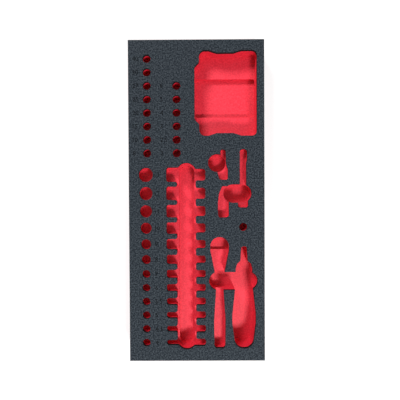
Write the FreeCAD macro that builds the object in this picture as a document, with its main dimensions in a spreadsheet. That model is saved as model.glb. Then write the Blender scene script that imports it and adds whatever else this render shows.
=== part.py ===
import FreeCAD, Part
import math
import os
import Sketcher

# Foam insert for a tool-chest drawer, in millimetres
# Origin: centre of the underside. X across the insert, Y along it, Z up.
# A thin dark sheet is laminated on a thick red block. Each tool has a pocket with upright walls.
# Each pocket is drawn once, as a cutter that hangs from the upper face down to its own depth.
# Both pieces are plain blanks less the same cutters, so their walls always line up.

doc = FreeCAD.newDocument("foam_tool_insert")
sheet = doc.addObject("Spreadsheet::Sheet", "sizes")


class Size:
    """A number together with the text that names it in expressions."""

    def __init__(self, value, text):
        self.value = value
        self.text = text

    def __add__(self, other):
        other = as_size(other)
        return Size(self.value + other.value, f"({self.text} + {other.text})")

    def __sub__(self, other):
        other = as_size(other)
        return Size(self.value - other.value, f"({self.text} - {other.text})")

    def __mul__(self, other):
        other = as_size(other)
        return Size(self.value * other.value, f"({self.text} * {other.text})")

    def __truediv__(self, other):
        other = as_size(other)
        return Size(self.value / other.value, f"({self.text} / {other.text})")


def as_size(value):
    return value if isinstance(value, Size) else Size(float(value), repr(float(value)))


def size(alias, value):
    """One named cell of the spreadsheet."""
    size.row += 1
    sheet.set(f"A{size.row}", alias.replace("_", " "))
    sheet.set(f"B{size.row}", repr(round(float(value), 6)))
    sheet.setAlias(f"B{size.row}", alias)
    return Size(float(value), f"sizes.{alias}")


size.row = 0

# The insert itself
insert_width = size("insert_width", 190)
insert_length = size("insert_length", 450)
sheet_thickness = size("sheet_thickness", 5)
base_height = size("base_height", 35)

# Loose bit sockets: two columns of round holes at one pitch
bit_hole = size("bit_hole", 11.4)
bit_depth = size("bit_depth", 22.5)
bit_pitch = size("bit_pitch", 18.8)
bit_top = size("bit_top", 198.7)
bit_column_1 = size("bit_column_1", -69)
bit_column_2 = size("bit_column_2", -27.6)
bit_count_1 = 8
bit_count_2 = 6
bit_skipped = 2

# One more round hole, for a drive adapter
adapter_hole = size("adapter_hole", 11.4)
adapter_hole_x = size("adapter_hole_x", 65)
adapter_hole_y = size("adapter_hole_y", -36.5)
adapter_hole_depth = size("adapter_hole_depth", 25.5)

# Twelve sockets, each in a round hole and, in its long form, in a row of the comb beside it
socket_sizes = [13, 12, 11, 10, 9, 8, 7, 6, 5.5, 5, 4.5, 4]
nut_end_least = 1.75
nut_end_growth = 1.41
drive_end_least = 10.4
drive_end_share = 0.8
round_hole_least = 10.9
round_hole_less = 0.3
row_gap = 10.23
row_growth = 0.835
row_top = 37.1
socket_depth = size("socket_depth", 16.5)
socket_column = size("socket_column", -71.2)

nut_ends = []
drive_ends = []
round_holes = []
rows = []
for number, socket in enumerate(socket_sizes, 1):
    nut_end = nut_end_least + nut_end_growth * socket
    round_hole = max(round_hole_least, nut_end - round_hole_less)
    if rows:
        row = rows[-1].value - row_gap - row_growth * (round_holes[-1].value + round_hole) / 2
    else:
        row = row_top
    rows.append(size(f"row_{number}", row))
    nut_ends.append(size(f"nut_end_{number}", nut_end))
    drive_ends.append(size(f"drive_end_{number}", max(drive_end_least, drive_end_share * nut_end)))
    round_holes.append(size(f"round_hole_{number}", round_hole))

# The comb for the long sockets: a spine with a tooth on both sides in each row
spine_x = size("spine_x", -14.5)
spine_radius = size("spine_radius", 13.2)
spine_past_first = size("spine_past_first", 3.3)
spine_short_of_last = size("spine_short_of_last", 3.2)
channel_radius = size("channel_radius", 11)
tooth_left = size("tooth_left", -42.5)
tooth_right = size("tooth_right", 12.1)
tooth_chamfer = size("tooth_chamfer", 2)
finger_chamfer = size("finger_chamfer", 1.6)
comb_end_bend = size("comb_end_bend", 4)
tooth_depth = size("tooth_depth", 14)
channel_depth = size("channel_depth", 25)

# The case pocket: two shelves at its ends and a deeper middle
case_left = size("case_left", 4.2)
case_right = size("case_right", 84.8)
case_bottom = size("case_bottom", 91.2)
case_top = size("case_top", 210.2)
case_left_corner = size("case_left_corner", 8)
case_right_corner = size("case_right_corner", 7)
case_dip = size("case_dip", 3.6)
dip_left = size("dip_left", 17.3)
dip_right = size("dip_right", 63.1)
dip_run = size("dip_run", 11.1)
bulge_left = size("bulge_left", -2.4)
bulge_bottom = size("bulge_bottom", 110.5)
bulge_top = size("bulge_top", 190.5)
bulge_run = size("bulge_run", 7)
bulge_bend = size("bulge_bend", 4.5)
case_depth = size("case_depth", 22)
middle_bottom = size("middle_bottom", 121.3)
middle_top = size("middle_top", 176.7)
middle_corner = size("middle_corner", 3.5)
middle_depth = size("middle_depth", 28.5)

# The drive adapter lies flat, with a round finger hole beside it
drive_left = size("drive_left", 33.6)
drive_top = size("drive_top", 71.9)
drive_right_high = size("drive_right_high", 40.9)
drive_right_mid = size("drive_right_mid", 41.5)
drive_mid = size("drive_mid", 52)
drive_right = size("drive_right", 43.9)
drive_shoulder = size("drive_shoulder", 44)
drive_bottom = size("drive_bottom", 29.8)
drive_left_low = size("drive_left_low", 31.4)
drive_left_mid = size("drive_left_mid", 28.3)
drive_chamfer = size("drive_chamfer", 1.8)
drive_depth = size("drive_depth", 11)
drive_finger_x = size("drive_finger_x", 28.6)
drive_finger_y = size("drive_finger_y", 53.2)
drive_finger_radius = size("drive_finger_radius", 12.5)
drive_finger_depth = size("drive_finger_depth", 22.5)

# The extension bar, with a finger slot across its lower end
bar_left = size("bar_left", 60.6)
bar_right_low = size("bar_right_low", 69.7)
bar_right = size("bar_right", 70.9)
bar_shoulder = size("bar_shoulder", 56)
bar_shoulder_run = size("bar_shoulder_run", 6)
bar_top = size("bar_top", 72.5)
bar_top_corner = size("bar_top_corner", 4.5)
bar_end_left = size("bar_end_left", 57.8)
bar_end_right = size("bar_end_right", 72.3)
bar_bottom = size("bar_bottom", -9.2)
bar_end_chamfer = size("bar_end_chamfer", 2)
bar_depth = size("bar_depth", 11)
bar_finger_left = size("bar_finger_left", 50.9)
bar_finger_right = size("bar_finger_right", 64.3)
bar_finger_y = size("bar_finger_y", 10.4)
bar_finger_radius = size("bar_finger_radius", 12.8)
bar_finger_depth = size("bar_finger_depth", 22.5)

# The universal joint, its upper end narrowed to one side
joint_left = size("joint_left", 29.8)
joint_right = size("joint_right", 45.1)
joint_bottom = size("joint_bottom", -23.2)
joint_top = size("joint_top", 20.7)
joint_neck_left = size("joint_neck_left", 35.9)
joint_slant_left = size("joint_slant_left", 31.1)
joint_slant_top = size("joint_slant_top", 9.5)
joint_slant_bottom = size("joint_slant_bottom", -3.6)
joint_corner = size("joint_corner", 4)
joint_neck_corner = size("joint_neck_corner", 2.5)
joint_depth = size("joint_depth", 11.6)

# The ratchet: a round head with a deeper seat, a tapered neck and a handle
ratchet_x = size("ratchet_x", 31.9)
ratchet_head_y = size("ratchet_head_y", -63.8)
ratchet_head_radius = size("ratchet_head_radius", 13.1)
ratchet_cheek = size("ratchet_cheek", -69.7)
ratchet_neck_y = size("ratchet_neck_y", -98)
ratchet_neck_width = size("ratchet_neck_width", 14.4)
handle_neck_y = size("handle_neck_y", -128)
handle_neck_width = size("handle_neck_width", 10.8)
handle_waist_y = size("handle_waist_y", -168)
handle_waist_width = size("handle_waist_width", 16.2)
handle_end_width = size("handle_end_width", 15.2)
handle_bottom = size("handle_bottom", -207.5)
handle_corner = size("handle_corner", 4)
handle_bend = size("handle_bend", 40)
cheek_bend = size("cheek_bend", 12)
ratchet_depth = size("ratchet_depth", 14.4)
head_depth = size("head_depth", 18.5)

# The finger slot shared by the ratchet and the spinner handle
grip_left = size("grip_left", 29.7)
grip_right = size("grip_right", 72.3)
grip_y = size("grip_y", -112.6)
grip_radius = size("grip_radius", 12.8)
grip_depth = size("grip_depth", 25)

# The spinner handle: a shaft, shoulders and a swelling grip
spinner_x = size("spinner_x", 66.1)
spinner_top = size("spinner_top", -63.8)
spinner_tip_half = size("spinner_tip_half", 4)
spinner_tip_chamfer = size("spinner_tip_chamfer", 2)
spinner_shaft_y = size("spinner_shaft_y", -84.3)
spinner_shaft_half = size("spinner_shaft_half", 5.2)
spinner_shoulder_y = size("spinner_shoulder_y", -88.6)
spinner_shoulder_half = size("spinner_shoulder_half", 10)
spinner_shoulder_corner = size("spinner_shoulder_corner", 4)
spinner_collar_y = size("spinner_collar_y", -95)
spinner_collar_half = size("spinner_collar_half", 11.7)
spinner_waist_y = size("spinner_waist_y", -126)
spinner_waist_half = size("spinner_waist_half", 12.9)
spinner_belly_top = size("spinner_belly_top", -160)
spinner_belly_bottom = size("spinner_belly_bottom", -173)
spinner_belly_half = size("spinner_belly_half", 16.7)
spinner_bottom = size("spinner_bottom", -207.7)
spinner_heel_half = size("spinner_heel_half", 12)
spinner_heel_corner = size("spinner_heel_corner", 13)
spinner_depth = size("spinner_depth", 29)

doc.recompute()


def origin_item(body, role):
    return next(item for item in body.Origin.OriginFeatures if item.Role == role)


def new_body(name, top):
    """A body whose sketch plane lies at the height of its upper face."""
    body = doc.addObject("PartDesign::Body", name)
    body.AllowCompound = True
    body.setExpression("Placement.Base.z", top.text)
    return body


def new_sketch(body, name):
    sketch = body.newObject("Sketcher::SketchObject", name)
    sketch.AttachmentSupport = [(origin_item(body, "XY_Plane"), "")]
    sketch.MapMode = "FlatFace"
    return sketch


def fix(sketch, kind, *args):
    """One dimension of a sketch, bound to its size."""
    measure = as_size(args[-1])
    index = sketch.addConstraint(Sketcher.Constraint(kind, *args[:-1], measure.value))
    sketch.setExpression(f"Constraints[{index}]", measure.text)


def fix_point(sketch, item, position, x, y):
    fix(sketch, "DistanceX", -1, 1, item, position, x)
    fix(sketch, "DistanceY", -1, 1, item, position, y)


def draw_circle(sketch, x, y, diameter):
    centre = FreeCAD.Vector(as_size(x).value, as_size(y).value, 0)
    circle = sketch.addGeometry(Part.Circle(centre, FreeCAD.Vector(0, 0, 1), diameter.value / 2))
    fix(sketch, "Diameter", circle, diameter)
    fix_point(sketch, circle, 3, x, y)


def draw_outline(sketch, corners):
    """A closed outline of straight sides. Each corner is (x, y, radius), with radius None if sharp."""
    points = [FreeCAD.Vector(as_size(x).value, as_size(y).value, 0) for x, y, _ in corners]
    radii = [None if r is None else as_size(r).value for _, _, r in corners]
    count = len(corners)
    leaves = []
    arrives = []
    arcs = []
    for n, point in enumerate(points):
        back = (points[n - 1] - point).normalize()
        ahead = (points[(n + 1) % count] - point).normalize()
        if radii[n] is None:
            arrives.append(point)
            leaves.append(point)
            arcs.append(None)
            continue
        half = back.getAngle(ahead) / 2
        reach = radii[n] / math.tan(half)
        arrive = point + back * reach
        leave = point + ahead * reach
        centre = point + (back + ahead).normalize() * (radii[n] / math.sin(half))
        left_turn = back.cross(ahead).z < 0
        ends = (arrive, leave) if left_turn else (leave, arrive)
        angles = [math.atan2(end.y - centre.y, end.x - centre.x) for end in ends]
        round_end = Part.Circle(centre, FreeCAD.Vector(0, 0, 1), radii[n])
        arcs.append((Part.ArcOfCircle(round_end, angles[0], angles[1]), left_turn))
        arrives.append(arrive)
        leaves.append(leave)
    lines = [
        sketch.addGeometry(Part.LineSegment(leaves[n], arrives[(n + 1) % count]))
        for n in range(count)
    ]
    for n, (x, y, radius) in enumerate(corners):
        before = lines[n - 1]
        after = lines[n]
        if radius is None:
            sketch.addConstraint(Sketcher.Constraint("Coincident", before, 2, after, 1))
            fix_point(sketch, after, 1, x, y)
            continue
        arc, left_turn = arcs[n]
        bend = sketch.addGeometry(arc)
        mark = sketch.addGeometry(Part.Point(points[n]), True)
        fix_point(sketch, mark, 1, x, y)
        sketch.addConstraint([
            Sketcher.Constraint("PointOnObject", mark, 1, before),
            Sketcher.Constraint("PointOnObject", mark, 1, after),
            Sketcher.Constraint("Tangent", before, 2, bend, 1 if left_turn else 2),
            Sketcher.Constraint("Tangent", after, 1, bend, 2 if left_turn else 1),
        ])
        fix(sketch, "Radius", bend, radius)


def draw_slot(sketch, x_1, y_1, x_2, y_2, radius):
    """A slot with round ends about two centres."""
    start = FreeCAD.Vector(as_size(x_1).value, as_size(y_1).value, 0)
    end = FreeCAD.Vector(as_size(x_2).value, as_size(y_2).value, 0)
    along = (end - start).normalize()
    side = FreeCAD.Vector(-along.y, along.x, 0) * radius.value
    turn = math.atan2(along.y, along.x)
    up = FreeCAD.Vector(0, 0, 1)
    quarter = math.pi / 2
    near = Part.ArcOfCircle(Part.Circle(start, up, radius.value), turn + quarter, turn + 3 * quarter)
    far = Part.ArcOfCircle(Part.Circle(end, up, radius.value), turn - quarter, turn + quarter)
    near = sketch.addGeometry(near)
    far = sketch.addGeometry(far)
    left = sketch.addGeometry(Part.LineSegment(end + side, start + side))
    right = sketch.addGeometry(Part.LineSegment(start - side, end - side))
    sketch.addConstraint([
        Sketcher.Constraint("Tangent", left, 2, near, 1),
        Sketcher.Constraint("Tangent", right, 1, near, 2),
        Sketcher.Constraint("Tangent", right, 2, far, 1),
        Sketcher.Constraint("Tangent", left, 1, far, 2),
    ])
    fix(sketch, "Radius", near, radius)
    fix_point(sketch, near, 3, x_1, y_1)
    fix_point(sketch, far, 3, x_2, y_2)


def draw_arch(sketch, x, y, radius, foot):
    """A half circle over two straight sides that stand on a straight foot."""
    centre = FreeCAD.Vector(as_size(x).value, as_size(y).value, 0)
    side = FreeCAD.Vector(radius.value, 0, 0)
    drop = FreeCAD.Vector(0, foot.value - centre.y, 0)
    up = FreeCAD.Vector(0, 0, 1)
    crown = sketch.addGeometry(Part.ArcOfCircle(Part.Circle(centre, up, radius.value), 0, math.pi))
    left = sketch.addGeometry(Part.LineSegment(centre - side, centre - side + drop))
    sill = sketch.addGeometry(Part.LineSegment(centre - side + drop, centre + side + drop))
    right = sketch.addGeometry(Part.LineSegment(centre + side + drop, centre + side))
    sketch.addConstraint([
        Sketcher.Constraint("Tangent", crown, 2, left, 1),
        Sketcher.Constraint("Coincident", left, 2, sill, 1),
        Sketcher.Constraint("Coincident", sill, 2, right, 1),
        Sketcher.Constraint("Tangent", right, 2, crown, 1),
        Sketcher.Constraint("Horizontal", sill),
    ])
    fix(sketch, "Radius", crown, radius)
    fix_point(sketch, crown, 3, x, y)
    fix(sketch, "DistanceY", -1, 1, sill, 1, foot)


def mirrored(half_outline, axis):
    """Corners given as (distance from the axis, y, radius) down one side, closed by the other side."""
    right = [(axis + off, y, radius) for off, y, radius in half_outline]
    left = [(axis - off, y, radius) for off, y, radius in reversed(half_outline)]
    return right + left


# The outlines of the pockets

def bit_hole_1(sketch):
    draw_circle(sketch, bit_column_1, bit_top, bit_hole)


def bit_hole_2(sketch):
    draw_circle(sketch, bit_column_2, bit_top - bit_pitch * bit_skipped, bit_hole)


def adapter_round(sketch):
    draw_circle(sketch, adapter_hole_x, adapter_hole_y, adapter_hole)


def socket_round(sketch):
    for row, hole in zip(rows, round_holes):
        draw_circle(sketch, socket_column, row, hole)


def comb_spine(sketch):
    first = rows[0] + spine_past_first
    last = rows[-1] + spine_short_of_last
    draw_slot(sketch, spine_x, last, spine_x, first, spine_radius)


def comb_channel(sketch):
    first = rows[0] + spine_past_first
    last = rows[-1] + spine_short_of_last
    draw_slot(sketch, spine_x, last, spine_x, first, channel_radius)


def comb_row(n):
    """One long socket: its nut end left of the spine, its drive end right, its fingers cut at an angle."""
    row = rows[n]
    nut = nut_ends[n] / 2
    drive = drive_ends[n] / 2
    left = spine_x - spine_radius
    right = spine_x + spine_radius
    below = [(spine_x, row - nut, None), (spine_x, row - drive, None)]
    above = [(spine_x, row + drive, None), (spine_x, row + nut, None)]
    if n < len(rows) - 1:
        below = [
            (left - finger_chamfer, row - nut, None),
            (left, row - nut - finger_chamfer, None),
            (right, row - drive - finger_chamfer, None),
            (right + finger_chamfer, row - drive, None),
        ]
    if n > 0:
        above = [
            (right + finger_chamfer, row + drive, None),
            (right, row + drive + finger_chamfer, None),
            (left, row + nut + finger_chamfer, None),
            (left - finger_chamfer, row + nut, None),
        ]

    def draw(sketch):
        draw_outline(sketch, [
            (tooth_left + tooth_chamfer, row + nut, None),
            (tooth_left, row + nut - tooth_chamfer, None),
            (tooth_left, row - nut + tooth_chamfer, None),
            (tooth_left + tooth_chamfer, row - nut, None),
            *below,
            (tooth_right - tooth_chamfer, row - drive, None),
            (tooth_right, row - drive + tooth_chamfer, None),
            (tooth_right, row + drive - tooth_chamfer, None),
            (tooth_right - tooth_chamfer, row + drive, None),
            *above,
        ])

    return draw


def case_outline(sketch):
    draw_outline(sketch, [
        (case_right, case_bottom, case_right_corner),
        (case_right, case_top, case_right_corner),
        (dip_right, case_top, None),
        (dip_right - dip_run, case_top - case_dip, None),
        (dip_left + dip_run, case_top - case_dip, None),
        (dip_left, case_top, None),
        (case_left, case_top, case_left_corner),
        (case_left, bulge_top + bulge_run / 2, bulge_bend),
        (bulge_left, bulge_top - bulge_run / 2, bulge_bend),
        (bulge_left, bulge_bottom + bulge_run / 2, bulge_bend),
        (case_left, bulge_bottom - bulge_run / 2, bulge_bend),
        (case_left, case_bottom, case_left_corner),
        (dip_left, case_bottom, None),
        (dip_left + dip_run, case_bottom + case_dip, None),
        (dip_right - dip_run, case_bottom + case_dip, None),
        (dip_right, case_bottom, None),
    ])


def case_middle(sketch):
    draw_outline(sketch, [
        (bulge_left, middle_bottom, middle_corner),
        (case_right, middle_bottom, middle_corner),
        (case_right, middle_top, middle_corner),
        (bulge_left, middle_top, middle_corner),
    ])


def drive_outline(sketch):
    draw_outline(sketch, [
        (drive_left_low + drive_chamfer, drive_bottom, None),
        (drive_right - drive_chamfer, drive_bottom, None),
        (drive_right, drive_bottom + drive_chamfer, None),
        (drive_right, drive_shoulder, None),
        (drive_right_mid, drive_mid, None),
        (drive_right_high, drive_top - drive_chamfer, None),
        (drive_right_high - drive_chamfer, drive_top, None),
        (drive_left + drive_chamfer, drive_top, None),
        (drive_left, drive_top - drive_chamfer, None),
        (drive_left, drive_finger_y, None),
        (drive_left_mid, drive_shoulder, None),
        (drive_left_low, drive_bottom + drive_chamfer, None),
    ])


def drive_finger(sketch):
    draw_circle(sketch, drive_finger_x, drive_finger_y, drive_finger_radius * 2)


def bar_outline(sketch):
    draw_outline(sketch, [
        (bar_right_low, bar_finger_y, None),
        (bar_right_low, bar_shoulder - bar_shoulder_run / 2, None),
        (bar_right, bar_shoulder + bar_shoulder_run / 2, None),
        (bar_right, bar_top, bar_top_corner),
        (bar_left, bar_top, bar_top_corner),
        (bar_left, bar_finger_y, None),
    ])


def bar_end(sketch):
    draw_outline(sketch, [
        (bar_end_left + bar_end_chamfer, bar_bottom, None),
        (bar_end_right - bar_end_chamfer, bar_bottom, None),
        (bar_end_right, bar_bottom + bar_end_chamfer, None),
        (bar_end_right, bar_finger_y, None),
        (bar_end_left, bar_finger_y, None),
        (bar_end_left, bar_bottom + bar_end_chamfer, None),
    ])


def bar_finger(sketch):
    draw_slot(sketch, bar_finger_left, bar_finger_y, bar_finger_right, bar_finger_y,
              bar_finger_radius)


def joint_outline(sketch):
    draw_outline(sketch, [
        (joint_left, joint_bottom, joint_corner),
        (joint_right, joint_bottom, joint_corner),
        (joint_right, joint_top, joint_corner),
        (joint_neck_left, joint_top, joint_neck_corner),
        (joint_slant_left, joint_slant_top, None),
        (joint_left, joint_slant_bottom, None),
    ])


def ratchet_head(sketch):
    draw_arch(sketch, ratchet_x, ratchet_head_y, ratchet_head_radius, ratchet_cheek)


def ratchet_handle(sketch):
    draw_outline(sketch, mirrored([
        (ratchet_head_radius, ratchet_head_y, None),
        (ratchet_head_radius, ratchet_cheek, cheek_bend),
        (ratchet_neck_width / 2, ratchet_neck_y, handle_bend),
        (handle_neck_width / 2, handle_neck_y, handle_bend),
        (handle_waist_width / 2, handle_waist_y, handle_bend),
        (handle_end_width / 2, handle_bottom, handle_corner),
    ], ratchet_x))


def grip_slot(sketch):
    draw_slot(sketch, grip_left, grip_y, grip_right, grip_y, grip_radius)


def spinner_outline(sketch):
    draw_outline(sketch, mirrored([
        (spinner_tip_half - spinner_tip_chamfer, spinner_top, None),
        (spinner_tip_half, spinner_top - spinner_tip_chamfer, None),
        (spinner_shaft_half, spinner_shaft_y, None),
        (spinner_shoulder_half, spinner_shoulder_y, spinner_shoulder_corner),
        (spinner_collar_half, spinner_collar_y, None),
        (spinner_waist_half, spinner_waist_y, handle_bend),
        (spinner_belly_half, spinner_belly_top, handle_bend),
        (spinner_belly_half, spinner_belly_bottom, handle_bend),
        (spinner_heel_half, spinner_bottom, spinner_heel_corner),
    ], spinner_x))


def blank_outline(sketch):
    right = insert_width / 2
    top = insert_length / 2
    draw_outline(sketch, [
        (right * -1, top * -1, None),
        (right, top * -1, None),
        (right, top, None),
        (right * -1, top, None),
    ])


# Building the cutters: the least volume that a step adds, and how near two places count as one

least_added = 1
same_place = 0.01


def expect_more(body, before, name):
    """Each step has to add to its body."""
    doc.recompute()
    if not body.Shape.Volume > before + least_added:
        raise RuntimeError(f"{name} adds nothing to {body.Label}")


def volume(body):
    return 0 if body.Shape.isNull() else body.Shape.Volume


def hang(body, name, draw, depth):
    """A prism with upright walls, from the body's upper face down to a depth."""
    before = volume(body)
    sketch = new_sketch(body, f"{name}_lines")
    draw(sketch)
    doc.recompute()
    pad = body.newObject("PartDesign::Pad", name)
    pad.Profile = sketch
    pad.Reversed = True
    pad.setExpression("Length", depth.text)
    expect_more(body, before, name)
    return pad


def repeat_down(body, name, pad, step, count):
    """Copies of a prism at equal steps towards the lower edge."""
    before = volume(body)
    pattern = body.newObject("PartDesign::LinearPattern", name)
    pattern.Originals = [pad]
    pattern.Direction = (origin_item(body, "Y_Axis"), [""])
    pattern.Reversed = True
    pattern.Occurrences = count
    pattern.setExpression("Length", (step * (count - 1)).text)
    body.Tip = pattern
    expect_more(body, before, name)


def round_upright_edges(body, name, places, radius):
    """Round the upright edges whose upper ends lie at the given places."""
    marks = [FreeCAD.Vector(x, y, 0) for x, y in places]
    tip = body.Tip
    names = []
    for index, edge in enumerate(tip.Shape.Edges, 1):
        upper = max(edge.Vertexes, key=lambda corner: corner.Z).Point
        lower = min(edge.Vertexes, key=lambda corner: corner.Z).Point
        upright = math.hypot(upper.x - lower.x, upper.y - lower.y) < same_place < upper.z - lower.z
        if upright and any(upper.distanceToPoint(mark) < same_place for mark in marks):
            names.append(f"Edge{index}")
    if len(names) != len(places):
        raise RuntimeError(f"{name} found {len(names)} of {len(places)} edges on {body.Label}")
    before = volume(body)
    fillet = body.newObject("PartDesign::Fillet", name)
    fillet.Base = (tip, names)
    fillet.setExpression("Radius", radius.text)
    expect_more(body, before, name)


def comb_ends():
    """Where the first and last rows run into the round ends of the spine."""
    places = []
    for side, widths in ((-1, nut_ends), (1, drive_ends)):
        for y, centre in (
            (rows[0].value + widths[0].value / 2, rows[0].value + spine_past_first.value),
            (rows[-1].value - widths[-1].value / 2, rows[-1].value + spine_short_of_last.value),
        ):
            run = math.sqrt(spine_radius.value**2 - (y - centre) ** 2)
            places.append((spine_x.value + side * run, y))
    return places


top = base_height + sheet_thickness

comb = new_body("comb_cutter", top)
hang(comb, "comb_spine", comb_spine, tooth_depth)
for n in range(len(rows)):
    hang(comb, f"comb_row_{n + 1}", comb_row(n), tooth_depth)
round_upright_edges(comb, "comb_ends", comb_ends(), comb_end_bend)
hang(comb, "comb_channel", comb_channel, channel_depth)

sockets = new_body("socket_cutter", top)
hang(sockets, "socket_holes", socket_round, socket_depth)

bits_1 = new_body("bit_cutter_1", top)
first = hang(bits_1, "bit_hole_1", bit_hole_1, bit_depth)
repeat_down(bits_1, "bit_column_1", first, bit_pitch, bit_count_1)

bits_2 = new_body("bit_cutter_2", top)
first = hang(bits_2, "bit_hole_2", bit_hole_2, bit_depth)
repeat_down(bits_2, "bit_column_2", first, bit_pitch, bit_count_2)

adapter = new_body("adapter_cutter", top)
hang(adapter, "adapter_hole", adapter_round, adapter_hole_depth)

case = new_body("case_cutter", top)
hang(case, "case_shelves", case_outline, case_depth)
hang(case, "case_middle", case_middle, middle_depth)

drive = new_body("drive_cutter", top)
hang(drive, "drive_pocket", drive_outline, drive_depth)
hang(drive, "drive_finger", drive_finger, drive_finger_depth)

bar = new_body("bar_cutter", top)
hang(bar, "bar_slot", bar_outline, bar_depth)
hang(bar, "bar_finger", bar_finger, bar_finger_depth)
hang(bar, "bar_end", bar_end, bar_depth)

joint = new_body("joint_cutter", top)
hang(joint, "joint_pocket", joint_outline, joint_depth)

ratchet = new_body("ratchet_cutter", top)
hang(ratchet, "ratchet_handle", ratchet_handle, ratchet_depth)
hang(ratchet, "ratchet_head", ratchet_head, head_depth)
hang(ratchet, "grip_slot", grip_slot, grip_depth)

spinner = new_body("spinner_cutter", top)
hang(spinner, "spinner_pocket", spinner_outline, spinner_depth)

cutters = doc.addObject("Part::MultiFuse", "cutters")
cutters.Shapes = [comb, sockets, bits_1, bits_2, adapter, case, drive, bar, joint, ratchet, spinner]
cutters.Refine = True
doc.recompute()


# The two pieces

def make_piece(label, upper_face, height):
    blank = new_body(f"{label}_blank", upper_face)
    hang(blank, f"{label}_slab", blank_outline, height)
    piece = doc.addObject("Part::Cut", label)
    piece.Label = label
    piece.Base = blank
    piece.Tool = cutters
    piece.Refine = True
    doc.recompute()
    if not 0 < piece.Shape.Volume < blank.Shape.Volume:
        raise RuntimeError(f"the cutters take nothing from {label}")
    return piece


base_block = make_piece("base_block", base_height, base_height)
top_sheet = make_piece("top_sheet", top, sheet_thickness)

for item in doc.Objects:
    if "Invalid" in item.State or "Error" in item.State:
        raise RuntimeError(f"{item.Name}: {item.State}")

os.makedirs("parts", exist_ok=True)
for piece in (base_block, top_sheet):
    shape = piece.Shape
    if shape.isNull() or not shape.isValid() or len(shape.Solids) != 1:
        raise RuntimeError(f"{piece.Label} is not one valid solid")
    shape.exportStep(f"parts/{piece.Label}.step")
    print(piece.Label, round(shape.Volume / 1000, 2), "cm3", len(shape.Faces), "faces")
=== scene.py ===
import math
import bmesh
import bpy
from mathutils import Matrix, Vector

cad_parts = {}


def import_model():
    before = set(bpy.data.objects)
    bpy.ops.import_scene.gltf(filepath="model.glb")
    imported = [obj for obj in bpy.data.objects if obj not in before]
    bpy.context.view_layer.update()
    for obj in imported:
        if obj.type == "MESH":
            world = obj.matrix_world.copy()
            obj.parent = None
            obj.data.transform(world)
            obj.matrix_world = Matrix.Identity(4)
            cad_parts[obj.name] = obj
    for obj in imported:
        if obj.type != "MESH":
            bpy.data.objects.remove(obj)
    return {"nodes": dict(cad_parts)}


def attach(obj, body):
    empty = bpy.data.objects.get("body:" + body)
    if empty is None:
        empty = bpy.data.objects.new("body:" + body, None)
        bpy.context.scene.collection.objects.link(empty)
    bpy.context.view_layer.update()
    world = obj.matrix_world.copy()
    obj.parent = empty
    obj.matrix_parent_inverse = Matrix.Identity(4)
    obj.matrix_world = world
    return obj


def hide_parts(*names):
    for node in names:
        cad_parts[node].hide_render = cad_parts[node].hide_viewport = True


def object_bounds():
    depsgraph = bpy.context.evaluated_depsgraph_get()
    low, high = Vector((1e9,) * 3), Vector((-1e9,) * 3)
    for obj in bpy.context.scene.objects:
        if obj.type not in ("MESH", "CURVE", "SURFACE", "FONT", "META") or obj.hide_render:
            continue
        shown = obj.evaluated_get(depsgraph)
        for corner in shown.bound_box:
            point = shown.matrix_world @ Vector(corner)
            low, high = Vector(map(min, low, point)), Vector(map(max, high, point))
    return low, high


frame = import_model()
cad_low, cad_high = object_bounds()
MM = 0.001
TOP = cad_high.z
SAME_PLACE = 1e-6


# Node helpers

def material(name):
    made = bpy.data.materials.new(name)
    made.use_nodes = True
    tree = made.node_tree
    tree.nodes.clear()
    return made, tree


def node(tree, kind, **settings):
    made = tree.nodes.new(kind)
    for key, value in settings.items():
        setattr(made, key, value)
    return made


def noise(tree, place, scale, detail=2.0, rough=0.5):
    made = node(tree, "ShaderNodeTexNoise")
    made.inputs["Scale"].default_value = scale
    made.inputs["Detail"].default_value = detail
    made.inputs["Roughness"].default_value = rough
    tree.links.new(place, made.inputs["Vector"])
    return made


def ramp(tree, source, stops):
    made = node(tree, "ShaderNodeValToRGB")
    made.color_ramp.interpolation = "LINEAR"
    while len(made.color_ramp.elements) < len(stops):
        made.color_ramp.elements.new(0.5)
    for element, (place, colour) in zip(made.color_ramp.elements, stops):
        element.position = place
        element.color = (*colour, 1)
    tree.links.new(source, made.inputs["Fac"])
    return made.outputs["Color"]


def mix(tree, kind, amount, a, b):
    made = node(tree, "ShaderNodeMix", data_type="RGBA", blend_type=kind)
    made.inputs["Factor"].default_value = amount
    tree.links.new(a, made.inputs["A"])
    tree.links.new(b, made.inputs["B"])
    return made.outputs["Result"]


# A pore's size as a share of the cell's, the colour factor at its middle, and the bump's strength
PORE_SHARE = 0.4
PORE_SHADE = (0.82, 0.82, 0.82)
BUMP_STRENGTH = 0.6


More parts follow.
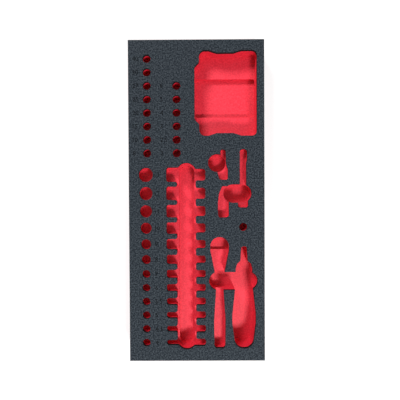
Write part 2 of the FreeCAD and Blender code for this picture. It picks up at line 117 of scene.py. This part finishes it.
def foam(name, colours, cell_mm, rough, gloss, bump_mm):
    """Closed-cell foam: a mottled colour, a finer grain of cells and a bump that follows both."""
    dark, middle, light = colours
    made, tree = material(name)
    place = node(tree, "ShaderNodeTexCoord").outputs["Object"]
    mottle = noise(tree, place, 1 / (cell_mm * MM), detail=4.0, rough=0.65)
    colour = ramp(tree, mottle.outputs["Fac"], [(0.4, dark), (0.5, middle), (0.6, light)])
    pores = node(tree, "ShaderNodeTexVoronoi", feature="F1")
    pores.inputs["Scale"].default_value = 1 / (PORE_SHARE * cell_mm * MM)
    tree.links.new(place, pores.inputs["Vector"])
    shade = ramp(tree, pores.outputs["Distance"], [(0.0, PORE_SHADE), (0.45, (1.0, 1.0, 1.0))])
    colour = mix(tree, "MULTIPLY", 1.0, colour, shade)
    height = node(tree, "ShaderNodeMath", operation="ADD")
    tree.links.new(mottle.outputs["Fac"], height.inputs[0])
    tree.links.new(pores.outputs["Distance"], height.inputs[1])
    bump = node(tree, "ShaderNodeBump")
    bump.inputs["Strength"].default_value = BUMP_STRENGTH
    bump.inputs["Distance"].default_value = bump_mm * MM
    tree.links.new(height.outputs["Value"], bump.inputs["Height"])
    shader = node(tree, "ShaderNodeBsdfPrincipled")
    shader.inputs["Roughness"].default_value = rough
    shader.inputs["Specular IOR Level"].default_value = gloss
    tree.links.new(colour, shader.inputs["Base Color"])
    tree.links.new(bump.outputs["Normal"], shader.inputs["Normal"])
    out = node(tree, "ShaderNodeOutputMaterial")
    tree.links.new(shader.outputs["BSDF"], out.inputs["Surface"])
    return made


# Dark, middle and light of each foam, as linear colours
SKIN = ((0.003, 0.006, 0.010), (0.0185, 0.0245, 0.031), (0.044, 0.054, 0.064))
# The cut colours are painted shade: near-black on the dark sheet's cut walls, its pocket rim bevels
# and the engraved numbers' recesses, far darker than the skin.
CUT_PAINTED_SHADE = ((0.004, 0.004, 0.005), (0.007, 0.008, 0.009), (0.012, 0.013, 0.014))
RED = ((0.60, 0.008, 0.028), (0.67, 0.014, 0.037), (0.74, 0.024, 0.050))
skin_foam = foam("dark_foam_skin", SKIN, cell_mm=1.9, rough=0.85, gloss=0.15, bump_mm=0.3)
# The second dark foam paints shade on the cut faces; it is no lighter where a lamp reaches them.
cut_painted_shade_foam = foam("dark_foam_cut_painted_shade", CUT_PAINTED_SHADE, cell_mm=1.1, rough=0.9, gloss=0.1, bump_mm=0.2)
red_foam = foam("red_foam", RED, cell_mm=2.2, rough=0.6, gloss=0.45, bump_mm=0.2)


# Pieces

FLAT_WITHIN = math.radians(0.5)
SMOOTH_BELOW = math.radians(30)
RIM_ABOVE = 0.5
OUTSIDE_BAND = 2 * MM


def piece_from_node(name, source, paints):
    """A copy of the CAD node's mesh, with its flat faces made whole again."""
    made = bpy.data.objects.new(name, frame["nodes"][source].data.copy())
    bpy.context.scene.collection.objects.link(made)
    made.data.materials.clear()
    for paint in paints:
        made.data.materials.append(paint)
    work = bmesh.new()
    work.from_mesh(made.data)
    bmesh.ops.remove_doubles(work, verts=work.verts, dist=SAME_PLACE)
    bmesh.ops.dissolve_limit(work, angle_limit=FLAT_WITHIN, verts=work.verts, edges=work.edges)
    work.normal_update()
    work.to_mesh(made.data)
    work.free()
    made.data.update()
    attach(made, "root")
    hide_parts(source)
    return made


def smooth(piece):
    """Level faces stay flat, so that a rounded rim doesn't shade the face beside it."""
    work = bmesh.new()
    work.from_mesh(piece.data)
    for edge in work.edges:
        edge.smooth = len(edge.link_faces) == 2 and edge.calc_face_angle(0) < SMOOTH_BELOW
    for face in work.faces:
        face.smooth = abs(face.normal.z) < 0.999
    work.to_mesh(piece.data)
    work.free()


def bevel_where(piece, test, width_mm):
    work = bmesh.new()
    work.from_mesh(piece.data)
    edges = [edge for edge in work.edges if test(edge)]
    bmesh.ops.bevel(work, geom=edges, offset=width_mm * MM, offset_type="OFFSET", segments=2,
                    profile=0.5, affect="EDGES", clamp_overlap=True, material=-1)
    work.normal_update()
    work.to_mesh(piece.data)
    work.free()


def on_outside(point):
    """At or just inside the insert's four sides, where no pocket reaches."""
    far_x = abs(point.x) > cad_high.x - OUTSIDE_BAND
    far_y = abs(point.y) > cad_high.y - OUTSIDE_BAND
    return far_x or far_y


def upper_edge(edge):
    at_top = all(abs(v.co.z - TOP) < SAME_PLACE for v in edge.verts)
    return at_top and len(edge.link_faces) == 2 and edge.calc_face_angle(0) > RIM_ABOVE


def pocket_rim(edge):
    return upper_edge(edge) and not all(on_outside(v.co) for v in edge.verts)


def outer_rim(edge):
    return upper_edge(edge) and all(on_outside(v.co) for v in edge.verts)


def paint_shade_on_cut_faces(piece):
    """The level upper face and the outer sides are skin; the rest, the cut walls and rim bevels,
    gets the near-black painted shade.
    """
    for face in piece.data.polygons:
        level = face.normal.z > 0.99
        face.material_index = 0 if level or on_outside(face.center) else 1


# Engraved numbers

def evaluated_mesh(holder):
    bpy.context.view_layer.update()
    graph = bpy.context.evaluated_depsgraph_get()
    return bpy.data.meshes.new_from_object(holder.evaluated_get(graph))


def number_solid(text, left_mm, middle_mm):
    """One number as a prism through the upper face, placed by its left end and mid-height."""
    curve = bpy.data.curves.new("number", "FONT")
    curve.body = text
    curve.extrude = 0.5
    holder = bpy.data.objects.new("number", curve)
    bpy.context.scene.collection.objects.link(holder)
    made = evaluated_mesh(holder)
    bpy.data.objects.remove(holder)
    bpy.data.curves.remove(curve)
    work = bmesh.new()
    work.from_mesh(made)
    bmesh.ops.remove_doubles(work, verts=work.verts, dist=GLYPH_MERGE)
    low_x = min(v.co.x for v in work.verts)
    low_y = min(v.co.y for v in work.verts)
    tall = max(v.co.y for v in work.verts) - low_y
    bmesh.ops.translate(work, vec=(-low_x, -low_y - tall / 2, 0), verts=work.verts)
    grow = DIGIT_HEIGHT * MM / tall
    bmesh.ops.scale(work, vec=(grow, grow, 2 * DIGIT_DEPTH * MM), verts=work.verts)
    bmesh.ops.translate(work, vec=(left_mm * MM, middle_mm * MM, TOP), verts=work.verts)
    bmesh.ops.recalc_face_normals(work, faces=work.faces)
    work.to_mesh(made)
    work.free()
    return made


def engrave(piece, solids):
    """Cut the solids out of the piece; the cut faces get its second paint, the near-black painted
    shade inside the numbers' recesses.
    """
    work = bmesh.new()
    for solid in solids:
        work.from_mesh(solid)
    for face in work.faces:
        face.material_index = 1
    joined = bpy.data.meshes.new("numbers")
    work.to_mesh(joined)
    work.free()
    for paint in piece.data.materials:
        joined.materials.append(paint)
    tool = bpy.data.objects.new("numbers", joined)
    bpy.context.scene.collection.objects.link(tool)
    cut = piece.modifiers.new("numbers", "BOOLEAN")
    cut.operation = "DIFFERENCE"
    cut.solver = "EXACT"
    cut.use_self = True
    cut.object = tool
    made = evaluated_mesh(piece)
    piece.modifiers.clear()
    piece.data = made
    bpy.data.objects.remove(tool)


# Sizes and places of the numbers in millimetres; the merge distance is in the font's own units
DIGIT_HEIGHT = 6.0
DIGIT_DEPTH = 0.9
GLYPH_MERGE = 1e-5
BIT_TOP, BIT_PITCH = 198.7, 18.8
BIT_NUMBERS_1 = ["40", "30", "27", "25", "20", "15", "10", "8"]
BIT_NUMBERS_2 = ["6", "5", "4", "3", "2.5", "2"]
BIT_ROWS_WITHOUT_2 = 2
BIT_NUMBERS_LEFT_1, BIT_NUMBERS_LEFT_2 = -88.8, -50.4
SOCKETS = [13, 12, 11, 10, 9, 8, 7, 6, 5.5, 5, 4.5, 4]
SOCKET_NUMBERS_LEFT = -58.6
SOCKET_TOP = 37.1
SOCKET_HOLE_LEAST, SOCKET_HOLE_BASE, SOCKET_HOLE_GROWTH = 10.9, 1.45, 1.41
ROW_GAP, ROW_GROWTH = 10.23, 0.835


def socket_rows():
    """The rows' middles, spaced by the sockets' sizes as the part spaces the holes beside them."""
    row = SOCKET_TOP
    last = None
    for socket in SOCKETS:
        hole = max(SOCKET_HOLE_LEAST, SOCKET_HOLE_BASE + SOCKET_HOLE_GROWTH * socket)
        if last:
            row -= ROW_GAP + ROW_GROWTH * (last + hole) / 2
        last = hole
        yield row


def all_numbers():
    for n, text in enumerate(BIT_NUMBERS_1):
        yield number_solid(text, BIT_NUMBERS_LEFT_1, BIT_TOP - BIT_PITCH * n)
    for n, text in enumerate(BIT_NUMBERS_2, BIT_ROWS_WITHOUT_2):
        yield number_solid(text, BIT_NUMBERS_LEFT_2, BIT_TOP - BIT_PITCH * n)
    for socket, row in zip(SOCKETS, socket_rows()):
        yield number_solid(f"{socket:g}", SOCKET_NUMBERS_LEFT, row)


red = piece_from_node("red_base", "base_block", [red_foam])
dark = piece_from_node("dark_sheet", "top_sheet", [skin_foam, cut_painted_shade_foam])
# The 1 mm bevel round the pockets takes the near-black painted shade, a dark outline round each
# pocket.
bevel_where(dark, pocket_rim, 1.0)
bevel_where(dark, outer_rim, 0.3)
paint_shade_on_cut_faces(dark)
engrave(dark, all_numbers())
smooth(red)
smooth(dark)


# Floor, lamps and camera

# Sky strength on the insert; the floor's half width and its glow, which rises with the distance
AMBIENT = 0.29
FLOOR_HALF = 4.0
GLOW_START, GLOW_END = 0.3, 1.1
GLOW_NEAR, GLOW_FAR = 0.72, 1.0


def background_rays(tree):
    """1 for rays that show the background, by sight or in a gloss or glass, and 0 for others."""
    path = node(tree, "ShaderNodeLightPath")
    seen = path.outputs["Is Camera Ray"]
    for kind in ("Is Glossy Ray", "Is Transmission Ray"):
        larger = node(tree, "ShaderNodeMath", operation="MAXIMUM")
        tree.links.new(seen, larger.inputs[0])
        tree.links.new(path.outputs[kind], larger.inputs[1])
        seen = larger.outputs["Value"]
    return seen


def floor():
    """A grey floor that glows up to white in the rays that show the background, and in no other."""
    mesh = bpy.data.meshes.new("floor")
    half = FLOOR_HALF
    corners = [(-half, -half, 0), (half, -half, 0), (half, half, 0), (-half, half, 0)]
    mesh.from_pydata(corners, [], [(0, 1, 2, 3)])
    made = bpy.data.objects.new("floor", mesh)
    bpy.context.scene.collection.objects.link(made)
    paint, tree = material("floor_paint")
    place = node(tree, "ShaderNodeTexCoord").outputs["Object"]
    cloud = noise(tree, place, 3.0).outputs["Fac"]
    faint = ramp(tree, cloud, [(0.3, (0.29, 0.29, 0.29)), (0.7, (0.31, 0.31, 0.31))])
    shader = node(tree, "ShaderNodeBsdfDiffuse")
    tree.links.new(faint, shader.inputs["Color"])
    glow = node(tree, "ShaderNodeEmission")
    seen = background_rays(tree)
    level = node(tree, "ShaderNodeMath", operation="MULTIPLY")
    tree.links.new(seen, level.inputs[0])
    away = node(tree, "ShaderNodeVectorMath", operation="LENGTH")
    tree.links.new(place, away.inputs[0])
    fade = node(tree, "ShaderNodeMapRange")
    fade.inputs["From Min"].default_value = GLOW_START
    fade.inputs["From Max"].default_value = GLOW_END
    fade.inputs["To Min"].default_value = GLOW_NEAR
    fade.inputs["To Max"].default_value = GLOW_FAR
    tree.links.new(away.outputs["Value"], fade.inputs["Value"])
    tree.links.new(fade.outputs["Result"], level.inputs[1])
    tree.links.new(level.outputs["Value"], glow.inputs["Strength"])
    both = node(tree, "ShaderNodeAddShader")
    tree.links.new(shader.outputs["BSDF"], both.inputs[0])
    tree.links.new(glow.outputs["Emission"], both.inputs[1])
    out = node(tree, "ShaderNodeOutputMaterial")
    tree.links.new(both.outputs["Shader"], out.inputs["Surface"])
    mesh.materials.append(paint)


def world():
    made = bpy.data.worlds.new("studio")
    bpy.context.scene.world = made
    made.use_nodes = True
    tree = made.node_tree
    tree.nodes.clear()
    seen = background_rays(tree)
    level = node(tree, "ShaderNodeMapRange")
    level.inputs["To Min"].default_value = AMBIENT
    level.inputs["To Max"].default_value = 1.0
    tree.links.new(seen, level.inputs["Value"])
    sky = node(tree, "ShaderNodeBackground")
    sky.inputs["Color"].default_value = (1, 1, 1, 1)
    tree.links.new(level.outputs["Result"], sky.inputs["Strength"])
    out = node(tree, "ShaderNodeOutputWorld")
    tree.links.new(sky.outputs["Background"], out.inputs["Surface"])


def softbox(name, place, width, watts):
    """A square lamp that hangs level and shines straight down."""
    lamp = bpy.data.lights.new(name, "AREA")
    lamp.shape = "SQUARE"
    lamp.size = width
    lamp.energy = watts
    made = bpy.data.objects.new(name, lamp)
    made.location = place
    made.visible_camera = False
    bpy.context.scene.collection.objects.link(made)


def camera():
    """Nearly straight above; place, turn and lens fit the photograph's outline and holes."""
    lens = bpy.data.cameras.new("camera")
    lens.sensor_fit = "HORIZONTAL"
    lens.sensor_width = 36
    lens.lens = 30.816
    lens.clip_start = 0.01
    made = bpy.data.objects.new("camera", lens)
    right = Vector((0.99998078, -0.00478555, -0.00394091))
    up = Vector((0.00473327, 0.99990206, -0.01317055))
    back = Vector((0.00400355, 0.01315165, 0.9999055))
    turn = Matrix((right, up, back)).transposed()
    place = Matrix.Translation((0.00655943, 0.00778835, 0.51922153))
    made.matrix_world = place @ turn.to_4x4()
    bpy.context.scene.collection.objects.link(made)
    bpy.context.scene.camera = made


floor()
world()
softbox("softbox_upper_left", (-0.93, 1.50, 1.37), width=0.8, watts=75)
softbox("softbox_lower_right", (0.43, -1.0, 1.128), width=0.34, watts=31)
camera()
bpy.context.scene.view_settings.view_transform = "Standard"
